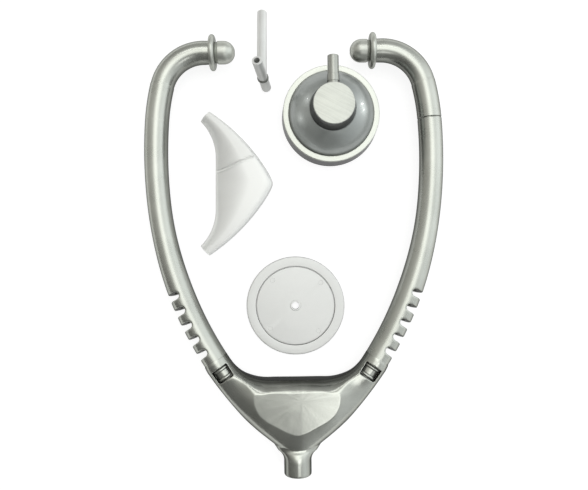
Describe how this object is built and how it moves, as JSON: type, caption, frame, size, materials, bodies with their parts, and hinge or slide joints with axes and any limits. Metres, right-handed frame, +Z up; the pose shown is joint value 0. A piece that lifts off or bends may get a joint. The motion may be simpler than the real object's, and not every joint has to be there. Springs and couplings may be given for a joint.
{
  "type": "toy stethoscope",
  "caption": "Toy stethoscope set in silver plastic: headset with flexing slotted arms, loose bell, diaphragm disc, yoke back cover and tee connector, laid flat",
  "frame": {"origin": "Middle of the laid-out set's box, on the table", "axes": "+X to the set's right, +Y from the hose outlet to the ear tips, +Z up from the table"},
  "size_m": [0.1526, 0.2404, 0.0335],
  "materials": {
    "silver_plastic": "silver-grey plastic with metallic flake, semi-gloss",
    "tip_plastic": "silver-grey plastic with metallic flake, semi-gloss",
    "bell_plastic": "dark silver plastic, glossy",
    "rim_plastic": "bright silver plastic, satin",
    "disc_plastic": "pale grey plastic, satin",
    "cover_plastic": "pale silver plastic, satin",
    "tee_plastic": "pale grey plastic, satin"
  },
  "bodies": {
    "headset": {"yoke_body": "silver_plastic", "left_flex_neck": "silver_plastic", "right_flex_neck": "silver_plastic"},
    "left_arm": {"left_arm_tube": "silver_plastic", "left_ear_tube": "silver_plastic", "left_ear_collar": "tip_plastic", "left_ear_tip": "tip_plastic"},
    "right_arm": {"right_arm_tube": "silver_plastic", "right_ear_tube": "silver_plastic", "right_ear_collar": "tip_plastic", "right_ear_tip": "tip_plastic"},
    "bell": {"bell_dome": "bell_plastic", "bell_rim": "rim_plastic", "bell_stem": "rim_plastic"},
    "diaphragm": {"diaphragm_disc": "disc_plastic"},
    "cover": {"yoke_back_cover": "cover_plastic"},
    "connector": {"tee_connector": "tee_plastic"}
  },
  "joints": [
    {"name": "left_arm_flex", "type": "hinge", "parent": "headset", "child": "left_arm", "pos_m": [-0.04882, -0.04134, 0.009], "axis": [0, 0, 1], "range_deg": [-3, 12], "stiffness_Nm_per_rad": 2.5, "deforming": ["left_flex_neck"]},
    {"name": "right_arm_flex", "type": "hinge", "parent": "headset", "child": "right_arm", "pos_m": [0.04882, -0.04134, 0.009], "axis": [0, 0, -1], "range_deg": [-3, 12], "stiffness_Nm_per_rad": 2.5, "deforming": ["right_flex_neck"]},
    {"name": "bell_lift", "type": "slide", "parent": "headset", "child": "bell", "axis": [0, 0, 1], "range_m": [0, 0.06]},
    {"name": "diaphragm_lift", "type": "slide", "parent": "headset", "child": "diaphragm", "axis": [0, 0, 1], "range_m": [0, 0.06]},
    {"name": "cover_lift", "type": "slide", "parent": "headset", "child": "cover", "axis": [0, 0, 1], "range_m": [0, 0.06]},
    {"name": "connector_lift", "type": "slide", "parent": "headset", "child": "connector", "axis": [0, 0, 1], "range_m": [0, 0.06]}
  ]
}
